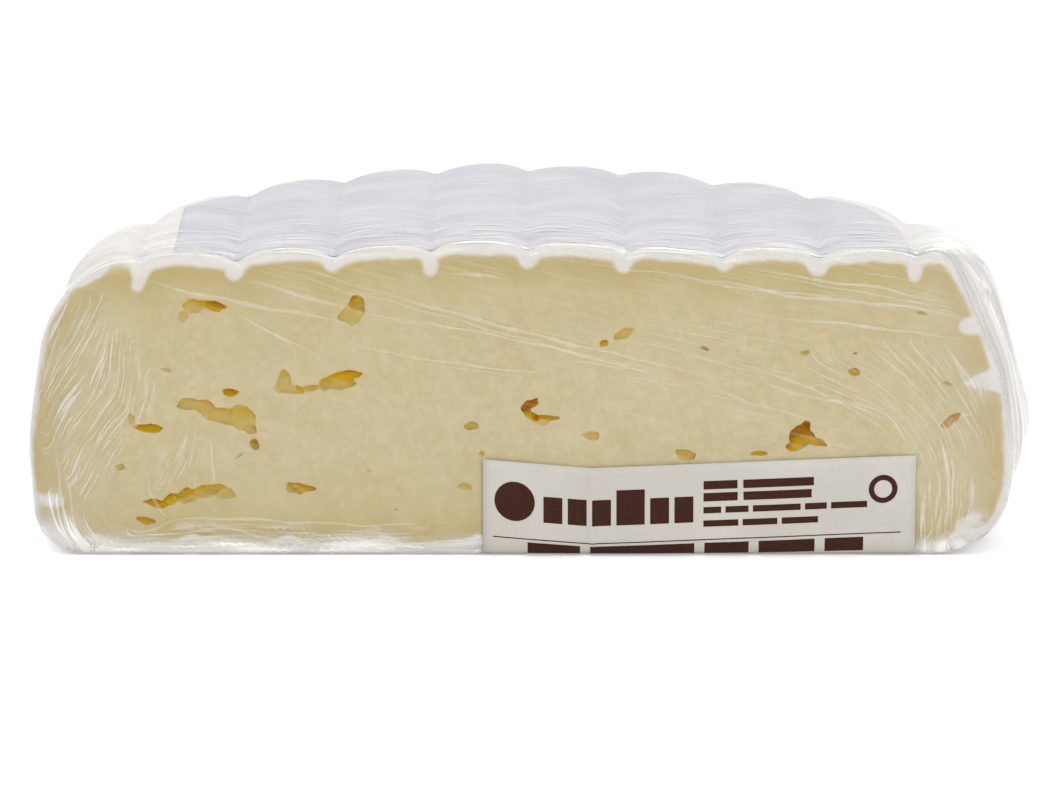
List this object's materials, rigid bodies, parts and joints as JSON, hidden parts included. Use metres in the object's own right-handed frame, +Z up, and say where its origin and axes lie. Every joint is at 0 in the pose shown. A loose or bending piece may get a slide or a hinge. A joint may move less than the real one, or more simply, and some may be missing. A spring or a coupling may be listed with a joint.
{
  "type": "film-wrapped half brie wheel",
  "caption": "Half wheel of soft white-rind cheese in clear film, resting flat with its cut face showing, with a price label folded under its front edge and a paper label on top.",
  "frame": {"origin": "centre of the bottom of the box around the whole part, on the surface it rests on", "axes": "+Z up, out of the wheel's top; +Y from the cut face into the cheese, so the cut face looks along -Y; +X to the right of someone facing the cut"},
  "size_m": [0.1372, 0.0786, 0.043],
  "materials": {
    "brie": "moist ivory paste with a bloomy white rind",
    "film": "clear stretched food film",
    "price_label_paper": "satin thermal paper",
    "price_label_ink": "dark brown print",
    "top_label_paper": "pale lilac-grey paper"
  },
  "bodies": {
    "root": {"wrapped_brie": "brie", "price_label": "price_label_paper", "top_label": "top_label_paper"}
  },
  "joints": []
}
